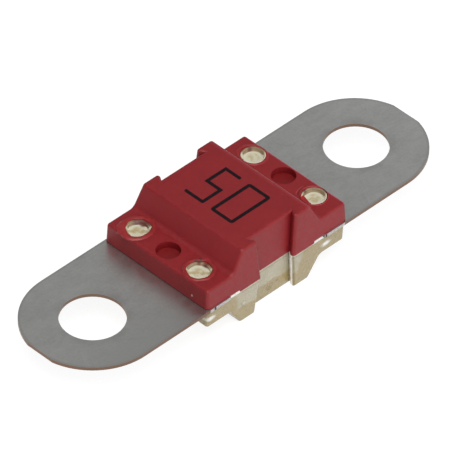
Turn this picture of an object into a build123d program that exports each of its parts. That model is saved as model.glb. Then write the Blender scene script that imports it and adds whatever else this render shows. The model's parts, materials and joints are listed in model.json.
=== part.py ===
"""Bolt-down strip fuse: a stamped element clamped between a moulded cover and a moulded base.

The origin lies midway between the two stud holes, on the underside of the element, where its
terminals seat. X runs along the element, Y across it and Z up, away from the seating face.
"""
import os
from math import cos, radians, sin

from build123d import *

# ---- staking pins, moulded on the base (mm) ----
pin_diameter = 2.0
pin_spacing_x = 13.1
pin_spacing_y = 7.0
dish_lip = 0.05
dish_depth = 0.42
dish_draft = 8.0

# ---- fuse element ----
hole_spacing = 30.0
stud_hole_diameter = 5.5
element_width = 12.0
element_length = 41.66
element_thickness = 0.3
shoulder_land = 0.16
tab_width = 6.0
link_width = 1.7
link_length = 3.2
link_taper_length = 1.2
link_root_radius = 0.4

# ---- tin pellet on the link ----
pellet_diameter = 1.3
pellet_height = 0.45
pellet_chamfer = 0.15

# ---- form shared by both mouldings ----
draft = 3.0
wall = 0.95
corner_radius = 0.35
recess_mouth_width = 3.2
recess_back_width = 4.1
recess_depth = 0.7
top_length = 7.7
foot_radius = 0.6
brow_radius = 0.3
edge_radius = 0.25

# ---- cover ----
cover_width = 11.84
cover_height = 3.85
cover_ledge_height = 1.9
pin_to_cover_end = 1.41
pin_to_cover_foot = 1.6
skirt_depth = 0.2
skirt_length = 8.4
well_diameter = 2.1
well_depth = 0.65

# ---- base ----
base_setback = 0.08
base_height = 3.65
base_ledge_height = 1.8
pin_to_base_foot = 1.45

# ---- clearances ----
pin_clearance = 0.04
slot_clearance = 0.1

# ---- worked out from the sizes above ----
element_top = element_thickness
ledge_top = element_top + cover_ledge_height
pin_hole_diameter = pin_diameter + 2 * pin_clearance
dish_diameter = pin_diameter - 2 * dish_lip
shoulder_half_length = (pin_spacing_x - pin_hole_diameter) / 2 - shoulder_land
taper_end = link_length / 2 + link_taper_length
recess_outer_width = 2 * recess_mouth_width - recess_back_width

cover_length = pin_spacing_x + 2 * pin_to_cover_end
cover_foot_length = pin_spacing_x - 2 * pin_to_cover_foot
base_length = cover_length - 2 * base_setback
base_width = cover_width - 2 * base_setback
base_foot_length = pin_spacing_x - 2 * pin_to_base_foot
chamber_length = top_length - 2 * wall
chamber_width = base_width - 2 * (recess_depth + wall)
rim_length = 2 * (shoulder_half_length - slot_clearance)
slot_width = tab_width + 2 * slot_clearance

cover_face = Plane.XY.offset(element_top - skirt_depth)
cover_depth = cover_height + skirt_depth
base_face = Plane(origin=(0, 0, element_top), x_dir=(1, 0, 0), z_dir=(0, 0, -1))
base_depth = base_height + element_thickness


def stepped_moulding(face, length, width, height, ledge, foot_length):
    """Make the outer form of one half housing in the open part, rising from face.

    The plan is a rounded rectangle with a dovetailed recess in the middle of each long side. It
    rises with draft on every wall, and a stepped profile leaves a low ledge at each end.
    """
    with BuildSketch(face) as plan:
        RectangleRounded(length, width, corner_radius)
    extrude(plan.sketch, amount=height, taper=draft)
    with BuildSketch(face) as recesses:
        for side in (-1, 1):
            with BuildLine():
                Polyline(
                    (-recess_back_width / 2, side * (width / 2 - recess_depth)),
                    (recess_back_width / 2, side * (width / 2 - recess_depth)),
                    (recess_outer_width / 2, side * (width / 2 + recess_depth)),
                    (-recess_outer_width / 2, side * (width / 2 + recess_depth)),
                    close=True,
                )
            make_face()
    extrude(recesses.sketch, amount=height, taper=-draft, mode=Mode.SUBTRACT)

    side = Plane(origin=face.origin, x_dir=face.x_dir, z_dir=-face.y_dir)
    with BuildSketch(side) as profile:
        with BuildLine():
            Polyline(
                (-length, 0),
                (-length, ledge),
                (-foot_length / 2, ledge),
                (-top_length / 2, height),
                (top_length / 2, height),
                (foot_length / 2, ledge),
                (length, ledge),
                (length, 0),
                close=True,
            )
        make_face()
        fillet(profile.vertices().group_by(lambda v: abs(v.X))[1], foot_radius)
        fillet(profile.vertices().group_by(lambda v: abs(v.X))[0], brow_radius)
    extrude(profile.sketch, amount=width, both=True, mode=Mode.INTERSECT)


def outer_edges(part, face):
    """Return the edges of the open part that a hand meets: its far rim, and its recesses' mouths.

    Drafted walls and their upright edges lean by less than three times the draft, which tells them
    from the stepped top.
    """
    lean = radians(3 * draft)
    top = part.faces().filter_by(lambda f: f.normal_at().dot(face.z_dir) > sin(lean))
    rim = part.edges().filter_by(lambda e: sum(e in f.edges() for f in top) == 1)
    upright = part.edges().filter_by(lambda e: abs(e.tangent_at().dot(face.z_dir)) > cos(lean))
    beside_recess = upright.filter_by_position(Axis.X, -recess_back_width, recess_back_width)
    return rim + beside_recess.group_by(lambda e: abs(e.center().Y))[-1]


with BuildPart() as fuse_element:
    with BuildSketch():
        SlotCenterToCenter(hole_spacing, element_width)
        Rectangle(element_length, element_width, mode=Mode.INTERSECT)
        with Locations((-hole_spacing / 2, 0), (hole_spacing / 2, 0)):
            Circle(stud_hole_diameter / 2, mode=Mode.SUBTRACT)
        with GridLocations(pin_spacing_x, pin_spacing_y, 2, 2):
            Circle(pin_hole_diameter / 2, mode=Mode.SUBTRACT)
        for side in (-1, 1):
            with BuildLine() as notch:
                Polyline(
                    (-shoulder_half_length, side * element_width),
                    (-shoulder_half_length, side * tab_width / 2),
                    (-taper_end, side * tab_width / 2),
                    (-link_length / 2, side * link_width / 2),
                    (link_length / 2, side * link_width / 2),
                    (taper_end, side * tab_width / 2),
                    (shoulder_half_length, side * tab_width / 2),
                    (shoulder_half_length, side * element_width),
                    close=True,
                )
                fillet(notch.vertices().group_by(lambda v: abs(v.Y))[0], link_root_radius)
            make_face(mode=Mode.SUBTRACT)
    extrude(amount=element_thickness)
fuse_element.part.label = "fuse_element"

with BuildPart() as tin_pellet:
    with BuildSketch(Plane.XY.offset(element_top)):
        Circle(pellet_diameter / 2)
    extrude(amount=pellet_height)
    chamfer(tin_pellet.edges().group_by(Axis.Z)[-1], pellet_chamfer)
tin_pellet.part.label = "tin_pellet"

with BuildPart() as cover:
    stepped_moulding(
        cover_face,
        cover_length,
        cover_width,
        cover_depth,
        cover_ledge_height + skirt_depth,
        cover_foot_length,
    )
    fillet(outer_edges(cover, cover_face), edge_radius)
    # terminals and tab lie against the face, and the skirt reaches below it between the shoulders
    with BuildSketch(cover_face):
        with GridLocations(skirt_length + cover_length, 0, 2, 1):
            Rectangle(cover_length, 2 * cover_width)
        Rectangle(skirt_length, slot_width)
    extrude(amount=skirt_depth, mode=Mode.SUBTRACT)
    with BuildSketch(cover_face):
        Rectangle(chamber_length, chamber_width)
    extrude(amount=cover_depth - wall, taper=draft, mode=Mode.SUBTRACT)
    with GridLocations(pin_spacing_x, pin_spacing_y, 2, 2):
        Hole(pin_hole_diameter / 2)
    with BuildSketch(Plane.XY.offset(ledge_top)):
        with GridLocations(pin_spacing_x, 0, 2, 1):
            Circle(well_diameter / 2)
    extrude(amount=-well_depth, mode=Mode.SUBTRACT)
cover.part.label = "cover"

with BuildPart() as base:
    stepped_moulding(
        base_face,
        base_length,
        base_width,
        base_depth,
        base_ledge_height + element_thickness,
        base_foot_length,
    )
    fillet(outer_edges(base, base_face), edge_radius)
    # seats for the terminals at the ends and for the tab between them
    with BuildSketch(base_face):
        with GridLocations(rim_length + base_length, 0, 2, 1):
            Rectangle(base_length, 2 * base_width)
        Rectangle(rim_length, slot_width)
    extrude(amount=element_thickness, mode=Mode.SUBTRACT)
    # step that takes the cover's skirt
    with BuildSketch(base_face):
        Rectangle(skirt_length, 2 * base_width)
    extrude(amount=skirt_depth, mode=Mode.SUBTRACT)
    with BuildSketch(base_face):
        Rectangle(chamber_length, chamber_width)
    extrude(amount=base_depth - wall, taper=draft, mode=Mode.SUBTRACT)
    # pins through the element and the cover, each with the dish that the staking punch leaves
    with BuildSketch():
        with GridLocations(pin_spacing_x, pin_spacing_y, 2, 2):
            Circle(pin_diameter / 2)
    extrude(amount=ledge_top)
    with BuildSketch(Plane.XY.offset(ledge_top)):
        with GridLocations(pin_spacing_x, pin_spacing_y, 2, 2):
            Circle(dish_diameter / 2)
    extrude(amount=-dish_depth, taper=dish_draft, mode=Mode.SUBTRACT)
base.part.label = "base"

os.makedirs("parts", exist_ok=True)
export_step(fuse_element.part, "parts/fuse_element.step")
export_step(tin_pellet.part, "parts/tin_pellet.step")
export_step(cover.part, "parts/cover.step")
export_step(base.part, "parts/base.step")
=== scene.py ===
"""Looks of a bolt-down midi fuse: a tin-plated strip held between a red cover and an ivory base.

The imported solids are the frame. This script gives each of them its finish and adds what a moulding
machine and a staking punch leave on them: the printed rating, the formed heads of the staking pins
and the melted plastic round them. Sizes are written in millimetres, in the frame of the solids, and
MM turns them into the metres that the meshes are in.
"""
import json
import logging
from dataclasses import dataclass, field
from enum import Enum
from functools import cached_property, reduce
from math import cos, radians, sin
from typing import Callable, Optional, Sequence, Union
import bpy
from mathutils import Matrix, Vector

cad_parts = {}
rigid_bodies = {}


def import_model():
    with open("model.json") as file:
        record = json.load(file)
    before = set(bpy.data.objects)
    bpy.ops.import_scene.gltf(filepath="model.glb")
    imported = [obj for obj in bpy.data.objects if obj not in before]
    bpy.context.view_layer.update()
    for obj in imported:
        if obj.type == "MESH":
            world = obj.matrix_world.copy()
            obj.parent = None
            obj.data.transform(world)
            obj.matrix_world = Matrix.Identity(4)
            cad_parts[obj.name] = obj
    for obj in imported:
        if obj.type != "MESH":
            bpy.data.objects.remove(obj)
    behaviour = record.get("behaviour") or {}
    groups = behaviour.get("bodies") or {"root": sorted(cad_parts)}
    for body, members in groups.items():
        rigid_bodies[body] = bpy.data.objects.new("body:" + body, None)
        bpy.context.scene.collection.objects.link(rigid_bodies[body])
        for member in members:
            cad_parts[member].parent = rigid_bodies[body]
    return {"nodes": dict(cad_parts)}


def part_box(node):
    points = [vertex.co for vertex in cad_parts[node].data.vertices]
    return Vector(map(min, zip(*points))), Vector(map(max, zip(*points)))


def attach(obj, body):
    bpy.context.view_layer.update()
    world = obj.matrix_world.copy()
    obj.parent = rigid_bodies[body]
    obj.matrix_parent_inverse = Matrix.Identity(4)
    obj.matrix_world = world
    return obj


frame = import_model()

LOG = logging.getLogger("midi_fuse")
MM = 0.001
BODY = "root"
PIN_ALONG = 6.55
PIN_ACROSS = 3.5
HOLE_ALONG = 15.0
WELD = 0.0005 * MM
GRIP = 0.12 * MM
TOUCH = 0.001 * MM
CLOUD_STEP = (0.37, 0.71, 0.53)
WHITE = (1.0, 1.0, 1.0)

Tree = bpy.types.NodeTree
Node = bpy.types.Node
Socket = bpy.types.NodeSocket
Piece = bpy.types.Object
Material = bpy.types.Material
Colour = tuple[float, float, float]
Feed = Union[Socket, float, Sequence[float]]
Triple = tuple[float, float, float]
Limits = tuple[float, float]
Constants = Sequence[tuple[str, Feed]]
Opened = tuple["Wiring", Sequence[Socket], Sequence[Socket]]


class Slot(Enum):
    """The record's material slots that the new pieces take their finish from."""

    RED = "red_plastic"
    IVORY = "ivory_plastic"


# ---------------------------------------------------------------- wiring of materials


class Wiring:
    """A node tree that is being wired, with short calls for the nodes that the finishes share."""

    def __init__(self, tree: Tree) -> None:
        """Take hold of the tree of a material, a node group or the world, and clear it."""
        self.tree = tree
        tree.nodes.clear()

    def feed(self, socket: Socket, value: Feed) -> None:
        """Link a socket to another one, or set its value.

        Args:
            socket: The socket that is fed.
            value: Another socket, or the value.
        """
        if isinstance(value, Socket):
            self.tree.links.new(value, socket)
        elif socket.type == "RGBA" and len(value) == 3:
            socket.default_value = (*value, 1.0)
        else:
            socket.default_value = value

    def add(self, kind: str, inputs: Optional[dict] = None, **settings) -> Node:
        """Add one node.

        Args:
            kind: The node's type name, without its "ShaderNode" prefix.
            inputs: What feeds the node's inputs, by their name or number.
            **settings: The node's own settings.

        Returns:
            The new node.
        """
        node = self.tree.nodes.new("ShaderNode" + kind)
        for name, value in settings.items():
            setattr(node, name, value)
        for name, value in (inputs or {}).items():
            self.feed(node.inputs[name], value)
        return node

    def math(self, operation: str, *values: Feed) -> Socket:
        """Return the result of a sum on plain numbers."""
        return self.add("Math", dict(enumerate(values)), operation=operation).outputs[0]

    def vector(self, operation: str, *values: Feed) -> Socket:
        """Return the result of a sum on vectors."""
        node = self.add("VectorMath", dict(enumerate(values)), operation=operation)
        return node.outputs["Value" if operation in ("LENGTH", "DOT_PRODUCT") else "Vector"]

    def times(self, *values: Feed) -> Feed:
        """Return the product of plain numbers."""
        return reduce(lambda product, value: self.math("MULTIPLY", product, value), values)

    def total(self, *parts: tuple[Feed, float]) -> Feed:
        """Return the sum of plain numbers, each times its weight."""
        weighted = [self.times(*part) for part in parts]
        return reduce(lambda total, part: self.math("ADD", total, part), weighted)

    def off(self, value: Feed, middle: Feed = 0.0) -> Socket:
        """Return how far a value lies from a middle one, on either side of it."""
        return self.math("ABSOLUTE", self.math("SUBTRACT", value, middle))

    def below(self, value: Feed, limit: Feed) -> Socket:
        """Return 1 where a value is below a limit, and 0 elsewhere."""
        return self.math("LESS_THAN", value, limit)

    def span(self, value: Feed, begin: Feed, full: Feed, start: Feed = 0.0, end: Feed = 1.0) -> Socket:
        """Return what runs smoothly from start to end as a value goes from begin to full, up or down."""
        inputs = {"Value": value, "From Min": begin, "From Max": full, "To Min": start, "To Max": end}
        return self.add("MapRange", inputs, interpolation_type="SMOOTHSTEP").outputs["Result"]

    def blend(self, share: Feed, first: Feed, second: Feed, kind: str = "MIX") -> Socket:
        """Return a mix of two colours, with a share of the second."""
        inputs = {0: share, 6: first, 7: second}
        return self.add("Mix", inputs, data_type="RGBA", blend_type=kind).outputs[2]

    def parts(self, vector: Feed) -> Sequence[Socket]:
        """Return the X, Y and Z of a vector."""
        return self.add("SeparateXYZ", {0: vector}).outputs

    def reach(self, along: Feed, across: Feed) -> Socket:
        """Return the length of a flat vector."""
        return self.vector("LENGTH", self.add("CombineXYZ", {0: along, 1: across}).outputs[0])

    def noise(self, place: Feed, patch: Feed, detail: float, rough: float = 0.5) -> Socket:
        """Return a noise by the size of its clouds, how many finer layers it has and how strong they are."""
        inputs = {0: place, "Scale": self.math("DIVIDE", 1.0, patch), "Detail": detail, "Roughness": rough}
        return self.add("TexNoise", inputs).outputs[0]


class Effect(Enum):
    """The effects that more than one finish uses, with the names of their node groups."""

    MOTTLE = "soft patches"
    GRAIN = "fine grain"
    SPECKS = "specks"
    SCRATCHES = "scratches"
    FROM_PINS = "way from pins"
    SPOT = "spot"


class Effects:
    """The node groups of the effects. Their lengths are in mm."""

    def make(self) -> None:
        """Make each group once."""
        self._mottle()
        self._grain()
        self._specks()
        self._scratches()
        self._from_pins()
        self._spot()

    @staticmethod
    def _open(effect: Effect, outputs: Sequence[str], **inputs: Feed) -> Opened:
        """Start a node group.

        Args:
            effect: The effect.
            outputs: The names of the outputs, all of them plain values.
            **inputs: The first value of each input besides Place, by its name.

        Returns:
            The wiring of the new tree, the sockets that it is given and the ones that it feeds.
        """
        tree = bpy.data.node_groups.new(effect.value, "ShaderNodeTree")
        w = Wiring(tree)
        for label, value in {"Place": (0.0, 0.0, 0.0), **inputs}.items():
            kind = "NodeSocketVector" if isinstance(value, tuple) else "NodeSocketFloat"
            tree.interface.new_socket(label, in_out="INPUT", socket_type=kind).default_value = value
        for label in outputs:
            tree.interface.new_socket(label, in_out="OUTPUT", socket_type="NodeSocketFloat")
        return w, tree.nodes.new("NodeGroupInput").outputs, tree.nodes.new("NodeGroupOutput").inputs

    def _mottle(self) -> None:
        """Make soft patches of tone, as a plated or moulded surface has."""
        w, given, made = self._open(Effect.MOTTLE, ["Mask"], Patch=1.0, Low=0.35, High=0.65)
        cloud = w.noise(given["Place"], given["Patch"], 3.0)
        w.feed(made["Mask"], w.span(cloud, given["Low"], given["High"]))

    def _grain(self) -> None:
        """Make a fine even grain for the height of a surface."""
        w, given, made = self._open(Effect.GRAIN, ["Height"], Pitch=0.1)
        w.feed(made["Height"], w.noise(given["Place"], given["Pitch"], 5.0, 0.62))

    def _specks(self) -> None:
        """Make scattered specks of dirt or bright dust."""
        w, given, made = self._open(Effect.SPECKS, ["Mask"], Pitch=1.0, Radius=0.1, Share=0.3)
        scale = w.math("DIVIDE", 1.0, given["Pitch"])
        cells = w.add("TexVoronoi", {"Vector": given["Place"], "Scale": scale}).outputs
        dot = w.span(cells["Distance"], given["Radius"], w.times(given["Radius"], 0.4))
        draw = w.add("SeparateColor", {0: cells["Color"]}).outputs[0]
        w.feed(made["Mask"], w.times(dot, w.below(draw, given["Share"])))

    def _scratches(self) -> None:
        """Make faint straight scratches that run one way."""
        w, given, made = self._open(
            Effect.SCRATCHES, ["Mask"], Turn=(0.0, 0.0, 0.0), Pitch=0.5, Share=0.3
        )
        turned_place = w.add("Mapping", {"Vector": given["Place"], "Rotation": given["Turn"]})
        drawn = w.vector("MULTIPLY", turned_place.outputs[0], (0.05, 1.0, 1.0))
        line = w.span(w.off(w.noise(drawn, given["Pitch"], 2.0), 0.5), 0.012, 0.0)
        broad = w.noise(given["Place"], w.math("DIVIDE", given["Pitch"], 0.3), 2.0)
        kept = w.span(broad, w.math("SUBTRACT", 0.75, given["Share"]), 0.8)
        w.feed(made["Mask"], w.times(line, kept))

    def _from_pins(self) -> None:
        """Measure the way from the nearest pin, and its part to the back right."""
        w, given, made = self._open(
            Effect.FROM_PINS, ["Distance", "Diagonal"], Pin=(PIN_ALONG, PIN_ACROSS, 0.0)
        )
        pin = w.vector("MULTIPLY", w.vector("SIGN", given["Place"]), given["Pin"])
        flat = w.vector("MULTIPLY", w.vector("SUBTRACT", given["Place"], pin), (1, 1, 0))
        w.feed(made["Distance"], w.vector("LENGTH", flat))
        w.feed(made["Diagonal"], w.vector("DOT_PRODUCT", flat, (0.707, 0.707, 0)))

    def _spot(self) -> None:
        """Make one soft-edged oval spot."""
        w, given, made = self._open(
            Effect.SPOT, ["Mask"], Middle=(0.0, 0.0, 0.0), Reach=(1.0, 1.0, 1.0), Soft=0.5
        )
        out = w.vector("DIVIDE", w.vector("SUBTRACT", given["Place"], given["Middle"]), given["Reach"])
        inside = w.math("SUBTRACT", 1.0, given["Soft"])
        w.feed(made["Mask"], w.span(w.vector("LENGTH", out), 1.0, inside))


class Coat(Wiring):
    """The wiring of one finish: its shader, its colour so far and the place on the piece, in mm.

    Its measures of the place are along, across and height, which are X, Y and Z; aside, which is X on
    either side of the middle; way, from the nearest pin; and diagonal, the way's part to the back
    right. A laid tone, whether the piece's own colour or painted light and shade, has reaches that each
    name one of them, with where the tone begins and where it is full.
    """

    def __init__(self, tree: Tree) -> None:
        """Place the shader and measure the place.

        Args:
            tree: The material's node tree.
        """
        super().__init__(tree)
        self.colour: Feed = (0.0, 0.0, 0.0)
        self.surface = self.add("BsdfPrincipled")
        self.add("OutputMaterial", {"Surface": self.surface.outputs["BSDF"]})
        metres = self.add("TexCoord").outputs["Object"]
        self.place = self.vector("MULTIPLY", metres, (1 / MM, 1 / MM, 1 / MM))
        self.along, self.across, self.height = self.parts(self.place)
        self.aside = self.off(self.along)

    @cached_property
    def from_pins(self) -> Sequence[Socket]:
        """Return the outputs of the effect that measures from the pins."""
        return self.effect(Effect.FROM_PINS)

    @property
    def way(self) -> Socket:
        """Return the distance from the nearest pin."""
        return self.from_pins["Distance"]

    @property
    def diagonal(self) -> Socket:
        """Return the part of the way from the nearest pin that is to the back right."""
        return self.from_pins["Diagonal"]

    def effect(self, effect: Effect, place: Optional[Socket] = None, **inputs: Feed) -> Sequence[Socket]:
        """Place a shared effect.

        Args:
            effect: The effect.
            place: The place that it reads, if not the place on the piece.
            **inputs: What feeds its other inputs.

        Returns:
            Its outputs.
        """
        node = self.add("Group", node_tree=bpy.data.node_groups[effect.value])
        for name, value in {"Place": place or self.place, **inputs}.items():
            self.feed(node.inputs[name], value)
        return node.outputs

    def patches(self, patch: float, low: float, high: float, place: Optional[Socket] = None) -> Socket:
        """Return soft patches of a size, drawn where the noise runs from low to high."""
        return self.effect(Effect.MOTTLE, place, Patch=patch, Low=low, High=high)["Mask"]

    def specks(self, pitch: float, radius: float, share: float) -> Socket:
        """Return specks in a share of the cells of a pitch, with a radius that counts in cells."""
        return self.effect(Effect.SPECKS, Pitch=pitch, Radius=radius, Share=share)["Mask"]

    def spot(self, middle: Triple, reach: Triple, soft: float, place: Optional[Socket] = None) -> Socket:
        """Return an oval spot with a middle, a reach each way and a soft share of the reach."""
        return self.effect(Effect.SPOT, place, Middle=middle, Reach=reach, Soft=soft)["Mask"]

    def facing(self) -> Sequence[Socket]:
        """Return the X, Y and Z of the way that the surface faces."""
        return self.parts(self.add("NewGeometry").outputs["True Normal"])

    def stain(self, tone: Feed, share: float, *masks: Feed, **reaches: Limits) -> None:
        """Lay a share of a tone over the colour so far, where all its masks and its reaches are full."""
        spans = [self.span(getattr(self, measure), *limits) for measure, limits in reaches.items()]
        self.colour = self.blend(self.times(*masks, *spans, share), self.colour, tone)

    def finish(self, uneven: Socket, rough: Limits, grain: Limits, constants: Constants) -> None:
        """Feed the shader with the colour so far, a roughness and a fine relief.

        Args:
            uneven: The mask that the roughness follows.
            rough: The roughness where the mask is 0, and where it is 1.
            grain: The pitch and the depth of the relief.
            constants: The shader's other inputs.
        """
        pitch, depth = grain
        height = self.effect(Effect.GRAIN, Pitch=pitch)["Height"]
        bump = self.add("Bump", {"Height": height, "Distance": depth * MM, "Strength": 1.0})
        fed = (
            ("Base Color", self.colour),
            ("Roughness", self.span(uneven, 0.0, 1.0, *rough)),
            ("Normal", bump.outputs[0]),
        )
        for name, value in (*fed, *constants):
            self.feed(self.surface.inputs[name], value)


# ---------------------------------------------------------------- finishes


@dataclass(frozen=True)
class Finish:
    """A finish that can be made into a material.

    Attributes:
        name: The material's name.
        rough: Its roughness where the mask that it follows is 0, and where that is 1.
        grain: The pitch and the depth of its relief.
        constants: The shader's other inputs.
    """

    name: str
    rough: Limits
    grain: Limits
    constants: Constants = ()

    def shade(self, coat: Coat) -> Socket:
        """Lay the finish's colours.

        Args:
            coat: The material's wiring.

        Returns:
            The mask that the roughness follows.
        """
        raise NotImplementedError

    def make(self) -> Material:
        """Make the material.

        Returns:
            The finished material.
        """
        material = bpy.data.materials.new(self.name)
        material.use_nodes = True
        coat = Coat(material.node_tree)
        coat.finish(self.shade(coat), self.rough, self.grain, self.constants)
        return material


@dataclass(frozen=True)
class RedMoulding(Finish):
    """Satin dark red plastic, a little uneven where the melt has flowed."""

    name: str = "red moulding"
    colour: Colour = (0.235, 0.0085, 0.012)
    deep: Colour = (0.200, 0.0065, 0.0095)
    dust: Colour = (0.5, 0.16, 0.17)
    seam: Colour = (0.03, 0.006, 0.005)
    sunk: Colour = (0.12, 0.004, 0.005)
    arris: Colour = (0.50, 0.13, 0.20)
    brow: Colour = (0.44, 0.085, 0.10)
    well: Colour = (0.14, 0.001, 0.001)
    fleck: Colour = (0.62, 0.50, 0.45)
    rough: Limits = (0.46, 0.56)
    grain: Limits = (0.22, 0.006)
    constants: Constants = (("Specular IOR Level", 0.42),)
    wall_end: float = 7.6
    well_radius: float = 1.07
    lap_lines: Sequence[tuple[float, Colour]] = ((1.37, (0.085, 0.004, 0.004)), (1.49, (0.36, 0.045, 0.05)))

    def shade(self, coat: Coat) -> Socket:
        """Lay patches of tone, pale dust and the piece's marks, painted light and shade among them.

        Args:
            coat: The material's wiring.

        Returns:
            The mask that the roughness follows.
        """
        flow, fine = coat.patches(2.6, 0.3, 0.7), coat.patches(0.3, 0.36, 0.64)
        coat.colour = coat.blend(coat.total((flow, 0.5), (fine, 0.5)), self.deep, self.colour)
        coat.stain(self.dust, 0.3, coat.specks(0.8, 0.07, 0.16))
        self.mark(coat)
        return fine

    def mark(self, coat: Coat) -> None:
        """Lay painted shade at the end walls' foot, round the left collars and down the wells, painted
        highlights on the right end's edge and the brow, a painted shadow line and a light line by the right
        near pin, and one pale fleck on the left end.

        Args:
            coat: The material's wiring.
        """
        left, near = coat.below(coat.along, 0.0), coat.below(coat.across, 0.0)
        # painted shade: the foot of each end wall is darkened where it meets the strip
        at_end = coat.below(self.wall_end, coat.aside)
        coat.stain(self.seam, 0.85, at_end, height=(0.46, 0.34))
        # painted shade round the left collars
        coat.stain(self.sunk, 0.15, left, way=(1.85, 1.35))
        # painted highlight along the rounded top edge of the right end
        coat.stain(self.arris, 0.55, along=(7.62, 7.72), height=(1.95, 2.05))
        # painted highlight along the brow where the top meets the right slope
        coat.stain(self.brow, 0.14, along=(3.42, 3.70), height=(3.75, 3.95))
        # painted shade, deepening down the wells
        in_well = [
            coat.below(coat.off(value, middle), self.well_radius)
            for value, middle in ((coat.aside, PIN_ALONG), (coat.across, 0.0))
        ]
        coat.stain(self.well, 0.5, *in_well, height=(2.17, 1.75))
        # a painted shadow line along the right near collar's back edge, with a light line beyond it
        beyond = coat.times(coat.below(-2.7, coat.across), near, coat.span(coat.along, 5.6, 5.8))
        for radius, tone in self.lap_lines:
            line = coat.span(coat.off(coat.way, radius), 0.08, 0.02)
            coat.stain(tone, 0.7, line, beyond, along=(6.9, 6.6))
        coat.stain(self.fleck, 0.7, coat.spot((-7.95, -4.12, 0.85), (1.0, 0.11, 0.14), 0.5))


@dataclass(frozen=True)
class MeltedRed(RedMoulding):
    """Red plastic that has been melted and has set again, brown where it met the hot pins."""

    name: str = "melted red"
    colour: Colour = (0.285, 0.021, 0.024)
    deep: Colour = (0.235, 0.013, 0.015)
    scorched: Colour = (0.085, 0.022, 0.010)
    gap: Colour = (0.075, 0.004, 0.003)
    rough: Limits = (0.38, 0.48)
    grain: Limits = (0.22, 0.003)
    constants: Constants = (("Specular IOR Level", 0.35),)
    burns: Sequence[Triple] = ((-5.88, -2.56, 0.24), (-5.52, -2.66, 0.18))

    def mark(self, coat: Coat) -> None:
        """Lay the scorches by the left pins and painted shade for the unfilled gap beside the right near
        one.

        Args:
            coat: The material's wiring.
        """
        left, near = coat.below(coat.along, 0.0), coat.below(coat.across, 0.0)
        patchy = coat.patches(0.5, 0.25, 0.6)
        coat.stain(self.scorched, 0.8, left, patchy, way=(1.36, 1.12), along=(-6.3, -5.7))
        for along, across, reach in self.burns:
            coat.stain(self.scorched, 1.0, coat.spot((along, across, 2.25), (reach, reach, 1.0), 0.5))
        # painted shade standing for the unfilled gap beside the right near pin
        coat.stain(self.gap, 1.0, near, way=(1.18, 1.10), along=(6.9, 7.2), across=(-3.3, -3.6))


@dataclass(frozen=True)
class TornRed(RedMoulding):
    """The fresh, saturated red of a torn flap."""

    name: str = "torn red"
    colour: Colour = (0.52, 0.012, 0.008)
    deep: Colour = (0.26, 0.009, 0.009)
    dull: Colour = (0.25, 0.014, 0.017)
    rough: Limits = (0.30, 0.40)
    grain: Limits = (0.22, 0.002)

    def mark(self, coat: Coat) -> None:
        """Dull the colour away from the chip at the flap's far end."""
        coat.stain(self.dull, 0.85, across=(-2.95, -3.30))


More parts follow.
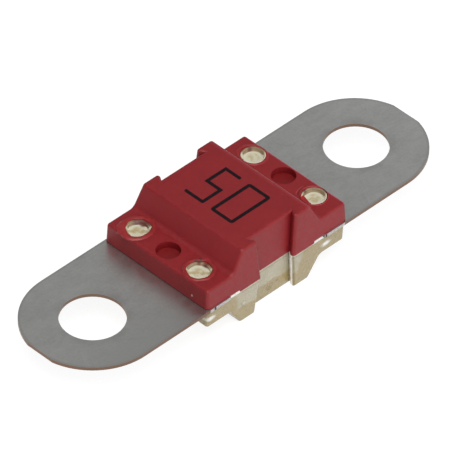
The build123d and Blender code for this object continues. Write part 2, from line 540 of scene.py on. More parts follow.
@dataclass(frozen=True)
class IvoryMoulding(Finish):
    """Translucent ivory plastic: pale where a thin wall hides a hollow, tan where it is solid.

    Attributes:
        marks: Along, height, two reaches and strength of each dark mark on the near side; the first is a
            painted shadow under the block's nub, the second painted shade at the left block's edge.
        lean: How far the back of the recess leans out for each millimetre down.
    """

    name: str = "ivory moulding"
    pale: Colour = (0.40, 0.37, 0.275)
    tan: Colour = (0.325, 0.265, 0.145)
    amber: Colour = (0.36, 0.23, 0.065)
    window: Colour = (0.80, 0.79, 0.76)
    corner: Colour = (0.33, 0.25, 0.085)
    seam: Colour = (0.16, 0.11, 0.04)
    streak: Colour = (0.95, 0.94, 0.90)
    dark: Colour = (0.11, 0.085, 0.05)
    split: Colour = (0.20, 0.14, 0.06)
    rough: Limits = (0.21, 0.33)
    grain: Limits = (0.5, 0.006)
    constants: Constants = (
        ("Subsurface Weight", 0.12),
        ("Subsurface Radius", (1.0, 0.7, 0.4)),
        ("Subsurface Scale", 0.3 * MM),
    )
    hollow_shift: float = -0.85
    hollow_reach: float = 4.0
    hollow_floor: float = -1.85
    near_side: float = -5.2
    marks: Sequence[tuple[float, float, float, float, float]] = (
        (-3.68, -1.92, 0.20, 0.16, 0.7),
        (-2.08, -1.35, 0.09, 0.38, 0.8),
        (0.02, -2.66, 0.26, 0.26, 0.45),
        (0.86, -2.40, 0.34, 0.13, 0.85),
    )
    recess_back: float = -5.14
    lean: float = 0.0524

    def shade(self, coat: Coat) -> Socket:
        """Lay the pale hollow, the tan solid parts, the painted highlights by the pins and a painted
        highlight band under the strip.

        Args:
            coat: The material's wiring.

        Returns:
            The mask that the roughness follows.
        """
        flow, fine = coat.patches(1.5, 0.3, 0.7), coat.patches(0.8, 0.3, 0.7)
        out = coat.total((coat.off(coat.along, self.hollow_shift), 1.0), (coat.height, -0.25), (flow, 0.35))
        beside = coat.span(out, self.hollow_reach + 0.35, self.hollow_reach - 0.25)
        lifted = coat.total((coat.height, 1.0), (flow, 0.3))
        above = coat.span(lifted, self.hollow_floor - 0.15, self.hollow_floor + 0.15)
        tan = coat.blend(coat.times(fine, 0.16), self.tan, self.amber)
        pale = coat.blend(coat.times(flow, 0.25), self.pale, self.tan)
        coat.colour = coat.blend(coat.times(beside, above), tan, pale)
        self.mark(coat)
        # painted highlight band along the base's top edge, under the strip
        shoulder = coat.span(coat.aside, 4.0, 4.25, 0.45, 0.9)
        below_pins = coat.below(coat.height, 0.6)
        coat.stain(self.window, 1.0, shoulder, below_pins, height=(-0.14, -0.04))
        return fine

    def mark(self, coat: Coat) -> None:
        """Lay a painted highlight below each pin, an amber spot in the recess's corner, a painted highlight
        between painted shade lines on the recess's right wall, dark marks and a painted shadow line.

        Args:
            coat: The material's wiring.
        """
        # painted highlight below each pin
        shifted = coat.vector("SUBTRACT", coat.place, (self.hollow_shift, 0, 0))
        folded = coat.vector("ABSOLUTE", coat.vector("MULTIPLY", shifted, (1, 0, 1)))
        coat.stain(self.window, 0.95, coat.spot((PIN_ALONG, 0, 0.9), (0.75, 1.0, 0.36), 0.9, folded))
        coat.stain(self.corner, 0.7, coat.spot((1.6, self.near_side, -2.6), (0.7, 1.0, 0.7), 0.6))
        # painted highlight down the middle of the recess's right wall, with painted shade lines at its edges
        cheek = coat.times(coat.span(coat.facing()["X"], -0.2, -0.5), coat.below(0.0, coat.along))
        back = coat.times(coat.math("SUBTRACT", 0.3, coat.height), self.lean)
        out = coat.math("SUBTRACT", coat.math("ADD", self.recess_back, back), coat.across)
        coat.stain(self.seam, 0.6, cheek, coat.span(coat.off(out, 0.31), 0.27, 0.33))
        coat.stain(self.streak, 1.0, cheek, coat.span(coat.off(out, 0.30), 0.28, 0.20))
        # dark marks; the first is a painted shadow under the block's nub, the second painted shade at the
        # left block's edge
        for along, height, wide, high, strength in self.marks:
            mark = coat.spot((along, self.near_side, height), (wide, 1.0, high), 0.8)
            coat.stain(self.dark, strength, mark)
        # painted shadow line along the base, below its top edge
        line = coat.span(coat.off(coat.height, -0.27), 0.10, 0.03)
        coat.stain(self.split, 0.35, line, coat.below(coat.aside, 4.0))


@dataclass(frozen=True)
class FormedIvory(Finish):
    """The punched head of a pin: cream where the punch pressed it, brown painted shade and dark burn marks
    up its inner wall.

    Attributes:
        burns: Along, across and reach of each burn mark, which also deepens the painted shade on the wall,
            and how far it spills over from the wall.
    """

    name: str = "formed ivory"
    cream: Colour = (0.60, 0.575, 0.435)
    tan: Colour = (0.40, 0.31, 0.15)
    wall: Colour = (0.215, 0.135, 0.065)
    burnt: Colour = (0.105, 0.024, 0.013)
    lit: Colour = (0.72, 0.705, 0.65)
    burns: Sequence[tuple[float, float, float, float]] = (
        (-5.95, 4.20, 0.62, 0.0),
        (-5.50, 3.62, 0.85, 0.0),
        (-5.72, 3.72, 0.44, 1.0),
        (-5.62, -3.38, 0.42, 0.3),
        (-5.85, -2.80, 0.26, 0.0),
        (6.90, 4.25, 0.30, 0.0),
        (6.45, -2.50, 0.24, 0.0),
        (5.95, -2.70, 0.20, 0.0),
    )
    rough: Limits = (0.26, 0.5)
    grain: Limits = (0.25, 0.012)

    def shade(self, coat: Coat) -> Socket:
        """Lay the cream floor with its pressed disc, painted shade and burn marks on the wall, and a painted
        highlight on the lip.

        Args:
            coat: The material's wiring.

        Returns:
            The mask that the roughness follows.
        """
        fine = coat.patches(0.5, 0.35, 0.65)
        coat.colour = self.cream
        coat.stain(self.tan, 1.0, coat.total((fine, 0.7), (0.15, 1.0)), way=(0.65, 0.35))
        band = coat.span(coat.off(coat.diagonal, -0.06), 0.24, 0.08)
        left, worn = coat.below(coat.along, 0.0), coat.span(fine, 0.0, 0.6, 0.3, 0.75)
        coat.stain(self.tan, 1.0, band, worn, left)
        # painted shade on the wall that faces the front left, and on the back right of the flared lip
        to_right, to_back, _ = coat.facing()
        facing = coat.span(coat.math("ADD", to_right, to_back), -0.15, -0.45)
        flared = coat.span(coat.way, 0.90, 0.98)
        wall = coat.math("MAXIMUM", facing, coat.times(flared, coat.span(coat.diagonal, 0.1, 0.5)))
        coat.stain(self.wall, 0.92, wall)
        # dark burn marks, mostly within the painted shade
        for along, across, reach, spill in self.burns:
            burn = coat.spot((along, across, 2.2), (reach, reach, 1.0), 0.8)
            coat.stain(self.burnt, 0.95, burn, coat.math("MAXIMUM", wall, spill))
        # painted highlight on the front left of the flared lip
        coat.stain(self.lit, 0.7, flared, diagonal=(-0.4, -0.9))
        return wall


@dataclass(frozen=True)
class TinnedStrip(Finish):
    """Matte tin plating, with bare copper alloy on the cut edges.

    Attributes:
        scratches: Turn in degrees, pitch, share, strength and colour of each set of scratches.
        ticks: Where the cut edge is darkened with painted shade for the gaps beside it.
    """

    name: str = "tinned strip"
    plating: Colour = (0.69, 0.692, 0.668)
    dull: Colour = (0.50, 0.503, 0.486)
    brighter: Colour = (1.10, 1.10, 1.12)
    worn: Colour = (0.33, 0.31, 0.29)
    dirt: Colour = (0.25, 0.22, 0.2)
    cut: Colour = (0.20, 0.125, 0.09)
    smeared: Colour = (0.56, 0.55, 0.54)
    scuffed: Colour = (0.36, 0.35, 0.34)
    gap: Colour = (0.05, 0.035, 0.03)
    scratches: Sequence[tuple[float, float, float, float, Colour]] = (
        (38, 0.9, 0.32, 0.3, (0.36, 0.35, 0.34)),
        (-62, 1.3, 0.3, 0.35, (0.85, 0.85, 0.84)),
    )
    ticks: Triple = (-7.1, -5.25, 5.5)
    gripped_end: float = 7.65
    rough: Limits = (0.34, 0.44)
    grain: Limits = (0.12, 0.004)
    constants: Constants = (("Metallic", 1.0),)

    def shade(self, coat: Coat) -> Socket:
        """Lay streaks, scratches and specks on the plating, a painted reflection to the right end, painted
        shade to the near left and at gaps on the cut edge, and the copper colour on the cut.

        Args:
            coat: The material's wiring.

        Returns:
            The mask that the roughness follows.
        """
        rolled = coat.vector("MULTIPLY", coat.place, (0.55, 1.0, 1.0))
        broad, streak = coat.patches(2.6, 0.35, 0.65), coat.patches(0.6, 0.36, 0.64, rolled)
        fine = coat.patches(0.2, 0.3, 0.7)
        tone = coat.total((broad, 0.4), (streak, 0.3), (fine, 0.3))
        tinned = coat.blend(tone, self.plating, self.dull)
        # painted reflection: the plating grows brighter towards the right end
        coat.colour = coat.blend(coat.span(coat.along, 5.0, 18.0), tinned, self.brighter, "MULTIPLY")
        beyond = coat.math("SUBTRACT", coat.aside, HOLE_ALONG)
        from_end = coat.reach(coat.math("MAXIMUM", beyond, 0.0), coat.across)
        rolled_over = coat.span(from_end, 5.72, 5.92, 0.0, 0.28)
        rubbed = coat.times(coat.span(coat.reach(beyond, coat.across), 3.6, 2.85, 0.0, 0.26), broad)
        coat.stain(self.worn, 1.0, coat.math("MAXIMUM", rolled_over, rubbed))
        # painted shade: the strip grows darker towards the near side and the left end
        coat.stain(self.dull, 0.5, across=(-1.0, -6.0), along=(8.0, -8.0))
        for degrees, pitch, share, strength, scratched in self.scratches:
            turn = (0.0, 0.0, radians(degrees))
            lines = coat.effect(Effect.SCRATCHES, Turn=turn, Pitch=pitch, Share=share)["Mask"]
            coat.stain(scratched, strength, lines)
        coat.stain(self.dirt, 0.4, coat.specks(1.5, 0.06, 0.3))
        smeared = coat.blend(fine, self.smeared, self.scuffed)
        # painted shade on the cut edge where gaps lie beside it
        for tick in self.ticks:
            smeared = coat.blend(coat.span(coat.off(coat.along, tick), 0.14, 0.05), smeared, self.gap)
        edge = coat.below(coat.off(coat.facing()["Z"]), 0.5)
        gripped = coat.below(coat.aside, self.gripped_end)
        coat.stain(coat.blend(gripped, self.cut, smeared), 1.0, edge)
        return tone


@dataclass(frozen=True)
class TwoTone(Finish):
    """A finish that runs from one tone to another in soft patches.

    Attributes:
        colour: The first tone.
        other: The second tone.
        noise: Where the patches begin in the noise, and where they are full.
    """

    colour: Colour = (0.62, 0.62, 0.6)
    other: Colour = (0.48, 0.48, 0.47)
    noise: Limits = (0.3, 0.7)

    def shade(self, coat: Coat) -> Socket:
        """Lay the two tones.

        Args:
            coat: The material's wiring.

        Returns:
            The mask that the roughness follows.
        """
        patch = coat.patches(0.3, *self.noise)
        coat.colour = coat.blend(patch, self.colour, self.other)
        return patch


# ---------------------------------------------------------------- modelling


def take(piece: Optional[Piece]) -> None:
    """Select one piece alone and make it the active one, or leave nothing selected.

    Args:
        piece: The piece, or None.
    """
    for item in bpy.context.view_layer.objects:
        item.select_set(False)
    if piece:
        bpy.context.view_layer.objects.active = piece
        piece.select_set(True)


def settle(piece: Piece) -> Piece:
    """Move the place, turn and scale of a selected piece into its mesh, and return the piece."""
    bpy.ops.object.transform_apply(location=True, rotation=True, scale=True)
    return piece


def take_new(name: str) -> Piece:
    """Name the primitive that was just added, with its place moved into its mesh.

    Args:
        name: Its name.

    Returns:
        The piece.
    """
    piece = settle(bpy.context.active_object)
    piece.name = piece.data.name = name
    return piece


def pick(piece: Piece, kind: str, wanted: Callable[[Vector], bool]) -> None:
    """Select, in edit mode, the parts of a mesh that pass a test.

    Args:
        piece: The object in edit mode.
        kind: "VERT" or "FACE".
        wanted: A test of the part's centre, in the frame of the solids.
    """
    bpy.ops.mesh.select_mode(type=kind)
    bpy.ops.mesh.select_all(action="DESELECT")
    bpy.ops.object.mode_set(mode="OBJECT")
    if kind == "VERT":
        for vertex in piece.data.vertices:
            vertex.select = wanted(vertex.co)
    else:
        for face in piece.data.polygons:
            face.select = wanted(face.center)
    bpy.ops.object.mode_set(mode="EDIT")


def turned(name: str, centre: Vector, profile: Sequence[Limits], sides: int) -> Piece:
    """Model a closed round piece by stepping a circle along a profile.

    Args:
        name: The piece's name.
        centre: A point on its upright axis; the profile's heights start there.
        profile: Radius and height of each ring in turn, in mm. A profile that ends where it starts
            makes a ring; another one starts with a flat bottom, and its last radius is 0.
        sides: How many sides the circle has.

    Returns:
        The piece, in object mode.
    """
    take(None)
    radius, height = profile[0]
    bpy.ops.mesh.primitive_circle_add(
        vertices=sides,
        radius=radius * MM,
        fill_type="NOTHING" if profile[-1] == profile[0] else "NGON",
        location=centre + Vector((0, 0, height * MM)),
    )
    piece = take_new(name)
    bpy.ops.object.mode_set(mode="EDIT")
    bpy.ops.mesh.select_mode(type="EDGE")
    bpy.ops.mesh.select_all(action="SELECT")
    for next_radius, next_height in profile[1:]:
        rise = (0, 0, (next_height - height) * MM)
        bpy.ops.mesh.extrude_edges_move(TRANSFORM_OT_translate={"value": rise})
        if next_radius:
            scale = next_radius / radius
            bpy.ops.transform.resize(value=(scale, scale, 1), center_override=centre)
        else:
            bpy.ops.mesh.merge(type="CENTER")
        radius, height = next_radius, next_height
    bpy.ops.mesh.select_all(action="SELECT")
    bpy.ops.mesh.remove_doubles(threshold=WELD)
    bpy.ops.mesh.normals_make_consistent(inside=False)
    bpy.ops.object.mode_set(mode="OBJECT")
    # the operator can turn a very small shell inside out, and its signed volume tells
    if sum(face.area * face.center.dot(face.normal) for face in piece.data.polygons) < 0:
        piece.data.flip_normals()
    return piece


def pull(piece: Piece, place: Vector, by: Vector, breadth: float) -> None:
    """Pull one side of a mesh outwards, with what lies near it.

    Args:
        piece: The piece, in object mode.
        place: The point that is pulled.
        by: How far and which way.
        breadth: How far away the pull is still felt, in mm.
    """
    take(piece)
    bpy.ops.object.mode_set(mode="EDIT")
    pick(piece, "VERT", lambda c: (c - place).length < GRIP)
    bpy.ops.transform.translate(
        value=by,
        use_proportional_edit=True,
        proportional_edit_falloff="SMOOTH",
        proportional_size=breadth * MM,
    )
    bpy.ops.object.mode_set(mode="OBJECT")


def modify(piece: Piece, kind: str, **settings) -> None:
    """Put a modifier on a piece and apply it.

    Args:
        piece: The piece.
        kind: The modifier's type.
        **settings: The modifier's own settings.
    """
    modifier = piece.modifiers.new(kind.lower(), kind)
    for name, value in settings.items():
        setattr(modifier, name, value)
    bpy.context.view_layer.objects.active = piece
    bpy.ops.object.modifier_apply(modifier=modifier.name)


def ruffle(piece: Piece, patch: float, depth: float, seed: int, direction: str) -> None:
    """Make a mesh uneven, as melted plastic sets.

    Args:
        piece: The piece.
        patch: How far apart its bumps are, in mm.
        depth: How far a point moves, in mm.
        seed: Which cloud pattern is used.
        direction: "X", "Y" or "Z".
    """
    clouds = bpy.data.textures.new(f"{piece.name} clouds {seed}", "CLOUDS")
    clouds.noise_scale = 1.0
    clouds.noise_depth = 1
    holder = bpy.data.objects.new(f"{piece.name} clouds place", None)
    bpy.context.scene.collection.objects.link(holder)
    holder.scale = Vector((patch, patch, patch)) * MM
    holder.location = Vector(CLOUD_STEP) * seed * patch * MM
    bpy.context.view_layer.update()
    modify(
        piece,
        "DISPLACE",
        texture=clouds,
        texture_coords="OBJECT",
        texture_coords_object=holder,
        direction=direction,
        strength=depth * MM,
        mid_level=0.5,
    )
    bpy.data.objects.remove(holder)
    bpy.data.textures.remove(clouds)


def dress(piece: Piece, material: Material, sharp: float = 0.0) -> None:
    """Give a new piece its finish and let it ride with the fuse.

    Args:
        piece: The finished piece.
        material: Its finish.
        sharp: The angle in degrees from which its edges stay sharp, or 0 to leave it flat.
    """
    if sharp:
        take(piece)
        bpy.ops.object.shade_smooth_by_angle(angle=radians(sharp))
    piece.data.materials.clear()
    piece.data.materials.append(material)
    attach(piece, BODY)
    LOG.info("%s: %d faces", piece.name, len(piece.data.polygons))


class Palette:
    """All the finishes, made into materials."""

    def __init__(self) -> None:
        """Make each material once."""
        Effects().make()
        self.red = RedMoulding().make()
        self.melted_red = MeltedRed().make()
        self.torn_red = TornRed().make()
        self.ivory = IvoryMoulding().make()
        self.formed_ivory = FormedIvory().make()
        self.strip = TinnedStrip().make()
        self.tin = TwoTone(
            "dull tin", rough=(0.4, 0.55), grain=(0.25, 0.01), constants=(("Metallic", 1.0),)
        ).make()
        self.ink = TwoTone(
            "rating ink",
            rough=(0.5, 0.6),
            grain=(0.16, 0.004),
            constants=(("Specular IOR Level", 0.12),),
            colour=(0.006, 0.004, 0.006),
            other=(0.016, 0.006, 0.008),
            noise=(0.45, 0.75),
        ).make()


class Pin(Enum):
    """The four staking pins, by the end and the side that each is at, seen from the near left."""

    LEFT_FAR = (-1, 1)
    LEFT_NEAR = (-1, -1)
    RIGHT_FAR = (1, 1)
    RIGHT_NEAR = (1, -1)

    @property
    def label(self) -> str:
        """Return the pin's name as part of a piece's name."""
        return self.name.lower()


@dataclass
class CadPiece:
    """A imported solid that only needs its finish."""

    node: str

    def dress(self, material: Material) -> None:
        """Put the finish on the solid.

        Args:
            material: The finish.
        """
        solid = frame["nodes"][self.node]
        if not solid.material_slots:
            solid.data.materials.append(material)
        for held in solid.material_slots:
            held.material = material
        LOG.info("%s: dressed in %s", self.node, material.name)

    def corners(self) -> tuple[Vector, Vector]:
        """Return the solid's lowest and highest corner."""
        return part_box(self.node)


@dataclass(frozen=True)
class Digit:
    """One printed digit, which reads along -Y with its head towards +X.

    Attributes:
        name: The piece's name.
        columns: Where the strokes' edges lie along the reading direction.
        rows: Where they lie from the digit's foot to its head.
        bare: Column and row of each cell that has no ink.
        corner: The radius of its outer corners.
    """

    name: str
    columns: Sequence[float]
    rows: Sequence[float]
    bare: Sequence[tuple[int, int]]
    corner: float


@dataclass
class Cover(CadPiece):
    """The red cover, with its printed rating, 50, across the middle of the top."""

    node: str = "cover"
    film: float = 0.012
    digits: Sequence[Digit] = (
        Digit(
            "rating_five",
            (-2.76, -2.445, -2.135, -0.885, -0.575),
            (-2.145, -1.835, -0.095, 0.215, 2.035, 2.345),
            ((0, 1), (1, 1), (2, 1), (0, 2), (0, 3), (2, 3), (3, 3), (0, 4)),
            0.16,
        ),
        Digit("rating_nought", (0.295, 0.61, 2.49, 2.805), (-2.195, -1.88, 2.01, 2.325), ((1, 1),), 0.26),
    )

    def print_digit(self, digit: Digit) -> Piece:
        """Model one printed digit as a thin film on the cover's top.

        A plate of the digit's whole size is cut along the edges of its strokes, and what lies
        between the strokes is taken out.

        Args:
            digit: The digit.

        Returns:
            The piece.
        """
        top = self.corners()[1].z
        xs = [row * MM for row in digit.rows]
        ys = [-column * MM for column in digit.columns]
        take(None)
        middle = ((xs[0] + xs[-1]) / 2, (ys[0] + ys[-1]) / 2, top)
        bpy.ops.mesh.primitive_plane_add(size=1.0, location=middle)
        bpy.context.active_object.scale = (xs[-1] - xs[0], ys[0] - ys[-1], 1.0)
        piece = take_new(digit.name)
        bpy.ops.object.mode_set(mode="EDIT")
        cuts = [((x, 0, top), (1, 0, 0)) for x in xs[1:-1]] + [((0, y, top), (0, 1, 0)) for y in ys[1:-1]]
        for place, normal in cuts:
            bpy.ops.mesh.select_all(action="SELECT")
            bpy.ops.mesh.bisect(plane_co=place, plane_no=normal)
        pick(
            piece,
            "FACE",
            lambda c: any(xs[j] < c.x < xs[j + 1] and ys[i + 1] < c.y < ys[i] for i, j in digit.bare),
        )
        bpy.ops.mesh.delete(type="FACE")
        pick(
            piece,
            "VERT",
            lambda c: min(abs(c.x - x) for x in (xs[0], xs[-1])) < TOUCH
            and min(abs(c.y - y) for y in (ys[0], ys[-1])) < TOUCH,
        )
        bpy.ops.mesh.bevel(offset=digit.corner * MM, segments=4, affect="VERTICES")
        bpy.ops.mesh.select_all(action="SELECT")
        bpy.ops.mesh.extrude_region_move(TRANSFORM_OT_translate={"value": (0, 0, self.film * MM)})
        bpy.ops.mesh.select_all(action="SELECT")
        bpy.ops.mesh.normals_make_consistent(inside=False)
        bpy.ops.object.mode_set(mode="OBJECT")
        return piece

    def build(self, palette: Palette) -> None:
        """Dress the cover and print its rating.

        Args:
            palette: The finishes.
        """
        self.dress(palette.red)
        for digit in self.digits:
            dress(self.print_digit(digit), palette.ink)


@dataclass(frozen=True)
class HeadForm:
    """How the staking punch left one pin.

    Attributes:
        depth: How far its floor lies below the ledge.
        floor: The radius of the pressed floor.
        lip: How far out its lip spreads.
        rise: How high the lip stands where it ends.
    """

    depth: float
    floor: float
    lip: float
    rise: float


@dataclass(frozen=True)
class CollarForm:
    """How the cover's plastic welled up round one pin.

    Attributes:
        inner: How far from its middle the bead starts.
        reach: How far out the bead spreads along the strip and across it.
        height: How high it stands on the ledge.
        shift: How far its middle lies from the pin's axis.
        pulls: Where it has run further: the direction in degrees, how far, and how broad.
        laps: Where it has run inwards over the pin's lip, in the same terms.
    """

    inner: float
    reach: Limits
    height: float
    shift: Limits
    pulls: Sequence[Triple] = ()
    laps: Sequence[Triple] = ()


@dataclass(frozen=True)
class SmallMark:
    """A small round mark that stands out of the base's near side.

    Attributes:
        name: The piece's name.
        place: The middle of its foot.
        profile: Its rings, each with a radius and how far it stands out.
    """

    name: str
    place: Triple
    profile: Sequence[Limits]

    def model(self) -> Piece:
        """Model the mark upright, then turn it to the near side and put it in its place.

        Returns:
            The piece.
        """
        piece = turned(self.name, Vector(), self.profile, 32)
        take(piece)
        piece.rotation_euler = (radians(90), 0, 0)
        piece.location = Vector(self.place) * MM
        return settle(piece)


@dataclass
class StakedPins(CadPiece):
    """The ivory base with its four formed pin heads, the collars melted round them and its small marks.

    Attributes:
        head_waves: How far apart and how deep the bumps on a head are.
        collar_waves: The same for a collar.
        flap_size: The torn flap's length and width.
        flap_pulls: Where it is pulled, by how much and how broadly.
    """

    node: str = "base"
    pin_radius: float = 1.0
    dish_radius: float = 0.95
    head_sides: int = 96
    head_waves: Limits = (0.8, 0.06)
    collar_sides: int = 72
    collar_waves: Limits = (1.1, 0.10)
    heads: dict[Pin, HeadForm] = field(
        default_factory=lambda: {
            Pin.LEFT_FAR: HeadForm(0.16, 0.82, 1.14, 0.08),
            Pin.LEFT_NEAR: HeadForm(0.14, 0.85, 1.10, 0.07),
            Pin.RIGHT_FAR: HeadForm(0.24, 0.82, 1.04, 0.06),
            Pin.RIGHT_NEAR: HeadForm(0.24, 0.82, 1.04, 0.05),
        }
    )
    collars: dict[Pin, CollarForm] = field(
        default_factory=lambda: {
            Pin.LEFT_FAR: CollarForm(
                1.14,
                (1.62, 1.46),
                0.12,
                (0.09, 0.16),
                ((-6, 0.22, 0.6), (108, 0.17, 0.45), (128, 0.22, 0.45), (150, 0.17, 0.45)),
                ((110, 0.12, 0.9), (156, 0.16, 0.8)),
            ),
            Pin.LEFT_NEAR: CollarForm(
                1.06, (1.40, 1.38), 0.11, (0.13, 0.12), ((12, 0.34, 0.45),), ((150, 0.05, 0.6),)
            ),
            Pin.RIGHT_FAR: CollarForm(1.14, (1.24, 1.38), 0.07, (0.0, 0.08)),
            Pin.RIGHT_NEAR: CollarForm(1.10, (1.18, 1.28), 0.09, (0.02, 0.04)),
        }
    )
    flap_place: Triple = (-0.92, 0.06, 0.09)
    flap_size: Limits = (0.40, 1.36)
    flap_thickness: float = 0.09
    flap_edge: float = 0.03
    flap_pulls: Sequence[tuple[Triple, Triple, float]] = (
        ((0.20, 0.68, 0.0), (0.06, -0.08, 0.03), 0.6),
        ((0.20, -0.68, 0.0), (-0.10, 0.10, -0.06), 0.8),
        ((-0.20, 0.68, 0.0), (0.06, -0.10, 0.0), 0.5),
        ((-0.20, 0.0, 0.0), (0.0, 0.0, -0.06), 0.9),
    )
    marks: Sequence[SmallMark] = (
        SmallMark(
            "block_nub",
            (-3.68, -5.75, -1.55),
            ((0.26, -0.1), (0.25, 0.02), (0.20, 0.07), (0.12, 0.11), (0.0, 0.12)),
        ),
        SmallMark(
            "gate_ring",
            (0.08, -4.985, -2.62),
            ((0.40, -0.08), (0.38, 0.03), (0.34, 0.055), (0.30, 0.03), (0.28, -0.08), (0.40, -0.08)),
        ),
    )

    def centre(self, pin: Pin) -> Vector:
        """Return the middle of a pin's head, in the plane of the ledge."""
        end, side = pin.value
        return Vector((end * PIN_ALONG * MM, side * PIN_ACROSS * MM, self.corners()[1].z))

    def head(self, pin: Pin) -> Piece:
        """Model one formed head: a flared lip round the dish, its wall, and a disc in its floor.

        Args:
            pin: The pin.

        Returns:
            The piece.
        """
        form = self.heads[pin]
        low = -form.depth
        throat = self.dish_radius - 0.02
        profile = (
            (throat, low - 0.05),
            (throat, -0.04),
            (form.lip - 0.02, -0.02),
            (form.lip, 0.02),
            (form.lip - 0.01, 0.8 * form.rise),
            (form.lip - 0.04, form.rise),
            (form.lip - 0.08, 0.8 * form.rise),
            (self.pin_radius, 0.02),
            (throat, 0.0),
            (form.floor + 0.05, 0.55 * low),
            (form.floor, 0.88 * low),
            (form.floor - 0.06, low),
            (form.floor - 0.25, low + 0.012),
            (form.floor - 0.45, low - 0.004),
            (form.floor - 0.65, low + 0.010),
            (0.0, low),
        )
        return turned(f"pin_head_{pin.label}", self.centre(pin), profile, self.head_sides)

    def collar(self, pin: Pin) -> Piece:
        """Model the low bead of melted cover plastic round one head.

        Args:
            pin: The pin.

        Returns:
            The piece.
        """
        form = self.collars[pin]
        centre = self.centre(pin) + Vector((*form.shift, 0)) * MM
        reach = max(form.reach)
        width = reach - form.inner
        foot = -0.12
        profile = (
            (reach, foot),
            (reach, 0.1 * form.height),
            (reach - 0.10 * width, 0.35 * form.height),
            (reach - 0.25 * width, 0.75 * form.height),
            (reach - 0.42 * width, form.height),
            (reach - 0.60 * width, 0.92 * form.height),
            (reach - 0.80 * width, 0.72 * form.height),
            (form.inner + 0.03, 0.55 * form.height),
            (form.inner, 0.35 * form.height),
            (form.inner - 0.01, foot),
            (reach, foot),
        )
        piece = turned(f"collar_{pin.label}", centre, profile, self.collar_sides)
        take(piece)
        stretch = (form.reach[0] / reach, form.reach[1] / reach, 1)
        bpy.ops.transform.resize(value=stretch, center_override=centre)
        settle(piece)
        for degrees, further, breadth in form.pulls:
            way = Vector((cos(radians(degrees)), sin(radians(degrees)), 0))
            edge = Vector((form.reach[0] * way.x, form.reach[1] * way.y, 0))
            pull(piece, centre + edge * MM, further * MM * way, breadth)
        for degrees, further, breadth in form.laps:
            way = Vector((cos(radians(degrees)), sin(radians(degrees)), 0))
            lip = form.inner * way + Vector((0, 0, 0.5 * form.height))
            pull(piece, self.centre(pin) + lip * MM, (Vector((0, 0, 0.05)) - further * way) * MM, breadth)
        return piece

    def flap(self) -> Piece:
        """Model the torn flap of the cover that has fallen over the right near head.

        Returns:
            The piece.
        """
        middle = self.centre(Pin.RIGHT_NEAR) + Vector(self.flap_place) * MM
        take(None)
        bpy.ops.mesh.primitive_grid_add(x_subdivisions=8, y_subdivisions=20, size=1.0, location=middle)
        bpy.context.active_object.scale = (self.flap_size[0] * MM, self.flap_size[1] * MM, 1.0)
        piece = take_new("torn_flap")
        for corner, by, breadth in self.flap_pulls:
            pull(piece, middle + Vector(corner) * MM, Vector(by) * MM, breadth)
        modify(piece, "SOLIDIFY", thickness=self.flap_thickness * MM, offset=0.0)
        modify(piece, "BEVEL", width=self.flap_edge * MM, segments=2)
        return piece

    def build(self, palette: Palette) -> None:
        """Model and dress the heads, the collars and the base's small marks.

        Args:
            palette: The finishes.
        """
        self.dress(palette.ivory)
        for seed, pin in enumerate(Pin, start=1):
            head = self.head(pin)
            ruffle(head, *self.head_waves, seed, "Z")
            dress(head, palette.formed_ivory, 40)
            collar = self.collar(pin)
            ruffle(collar, *self.collar_waves, seed, "X")
            ruffle(collar, *self.collar_waves, seed + len(Pin), "Y")
            dress(collar, palette.melted_red, 50)
        dress(self.flap(), palette.torn_red, 50)
        for mark in self.marks:
            dress(mark.model(), palette.ivory, 60)


# ---------------------------------------------------------------- studio


@dataclass(frozen=True)
class Lamp:
    """A square soft lamp that faces the fuse.

    Attributes:
        name: The lamp's name.
        place: Where it hangs, in metres.
        size: The length of its sides, in metres.
        power: Its power in watts.
    """

    name: str
    place: Triple
    size: float
    power: float


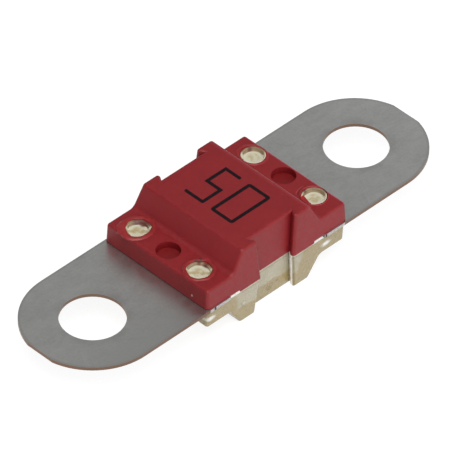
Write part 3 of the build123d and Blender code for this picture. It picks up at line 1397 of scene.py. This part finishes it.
@dataclass
class Studio:
    """A white table in soft light, and the camera above its near left corner.

    Attributes:
        azimuth: Which way the camera looks, in degrees.
        elevation: How far above the level it stands, in degrees.
        roll: How far it is turned on its own axis, in degrees.
        distance: How far it is from what it looks at, in mm.
        focal_length: Its focal length in mm.
        sensor: The width of its sensor in mm.
        aim: The point that it looks at, in mm.
        lamps: The lamps.
        horizon: How bright the tent is at the level of the table.
        roof: How bright it is overhead.
        left: How much of that is left at the far left.
        paper: How bright the table lies below the fuse.
        shadow: How much of the shadow on the table shows.
        glow: How brightly it shines besides.
        table_size: The length of the table's sides, in metres.
    """

    azimuth: float = -45.164
    elevation: float = 41.637
    roll: float = 0.766
    distance: float = 665.94
    focal_length: float = 654.77
    sensor: float = 36.0
    aim: Triple = (0.374, 0.379, 0.3)
    lamps: Sequence[Lamp] = (
        Lamp("key lamp", (-0.17, -0.17, 0.51), 0.36, 2.5),
        Lamp("side lamp", (0.05, -0.5, 0.22), 0.3, 1.0),
    )
    horizon: float = 0.74
    roof: float = 0.335
    left: float = 0.45
    paper: float = 0.86
    shadow: float = 0.22
    glow: float = 0.86
    table_size: float = 4.0

    def place_camera(self) -> None:
        """Put the camera where it looks along one corner of the cover."""
        azimuth, elevation, roll = radians(self.azimuth), radians(self.elevation), radians(self.roll)
        level = Vector((cos(azimuth), sin(azimuth), 0))
        outward = Vector((sin(azimuth), -cos(azimuth), 0))
        back = cos(elevation) * outward + Vector((0, 0, sin(elevation)))
        steep = back.cross(level)
        right = cos(roll) * level + sin(roll) * steep
        up = cos(roll) * steep - sin(roll) * level
        lens = bpy.data.cameras.new("camera")
        lens.lens = self.focal_length
        lens.sensor_width = self.sensor
        lens.clip_start = 0.01
        lens.clip_end = 50.0
        camera = bpy.data.objects.new("camera", lens)
        bpy.context.scene.collection.objects.link(camera)
        turn = Matrix((right, up, back)).transposed().to_4x4()
        camera.matrix_world = Matrix.Translation((Vector(self.aim) + self.distance * back) * MM) @ turn
        bpy.context.scene.camera = camera

    @staticmethod
    def hang(lamp: Lamp) -> None:
        """Hang one lamp.

        Args:
            lamp: The lamp.
        """
        light = bpy.data.lights.new(lamp.name, "AREA")
        light.shape = "SQUARE"
        light.size = lamp.size
        light.energy = lamp.power
        item = bpy.data.objects.new(lamp.name, light)
        item.location = lamp.place
        item.rotation_euler = (-Vector(lamp.place)).to_track_quat("-Z", "Y").to_euler()
        item.visible_camera = False
        bpy.context.scene.collection.objects.link(item)

    def light(self) -> None:
        """Light the fuse softly, as in a white tent with a grey roof."""
        for lamp in self.lamps:
            self.hang(lamp)
        world = bpy.data.worlds.new("tent")
        bpy.context.scene.world = world
        world.use_nodes = True
        w = Wiring(world.node_tree)
        along, _, height = w.parts(w.add("TexCoord").outputs["Generated"])
        tone = w.span(height, 0.04, 0.4, self.horizon, self.roof)
        tone = w.times(tone, w.span(along, -0.8, 0.1, self.left, 1.0))
        seen = w.add("LightPath").outputs["Is Camera Ray"]
        dim = w.add("Background", {"Color": WHITE, "Strength": tone})
        white = w.add("Background", {"Color": WHITE, "Strength": 1.0})
        mix = w.add("MixShader", {0: seen, 1: dim.outputs[0], 2: white.outputs[0]})
        w.add("OutputWorld", {"Surface": mix.outputs[0]})

    def lay_table(self) -> None:
        """Lay the white table under the fuse. It keeps a faint shadow."""
        take(None)
        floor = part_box("base")[0].z
        bpy.ops.mesh.primitive_plane_add(size=self.table_size, location=(0, 0, floor))
        table = take_new("table")
        material = bpy.data.materials.new("white table")
        material.use_nodes = True
        w = Wiring(material.node_tree)
        path = w.add("LightPath").outputs
        paper = w.add("BsdfDiffuse", {"Color": (self.paper,) * 3})
        faint = w.add("BsdfDiffuse", {"Color": (self.shadow,) * 3})
        glow = w.add("Emission", {"Color": WHITE, "Strength": self.glow})
        bright = w.add("AddShader", {0: faint.outputs[0], 1: glow.outputs[0]})
        seen = w.math("MAXIMUM", path["Is Camera Ray"], path["Is Glossy Ray"])
        seen = w.math("MAXIMUM", seen, path["Is Transmission Ray"])
        mix = w.add("MixShader", {0: seen, 1: paper.outputs[0], 2: bright.outputs[0]})
        w.add("OutputMaterial", {"Surface": mix.outputs[0]})
        table.data.materials.append(material)

    def set_up(self) -> None:
        """Set up the camera, the light and the table."""
        bpy.context.scene.view_settings.view_transform = "Standard"
        self.place_camera()
        self.light()
        self.lay_table()
        LOG.info("studio: camera, two lamps and a table")


def main() -> None:
    """Dress the fuse and set up its studio."""
    logging.basicConfig(level=logging.INFO, format="%(name)s %(message)s")
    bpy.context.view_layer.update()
    palette = Palette()
    CadPiece("fuse_element").dress(palette.strip)
    CadPiece("tin_pellet").dress(palette.tin)
    Cover().build(palette)
    StakedPins().build(palette)
    Studio().set_up()


if __name__ == "__main__":
    main()
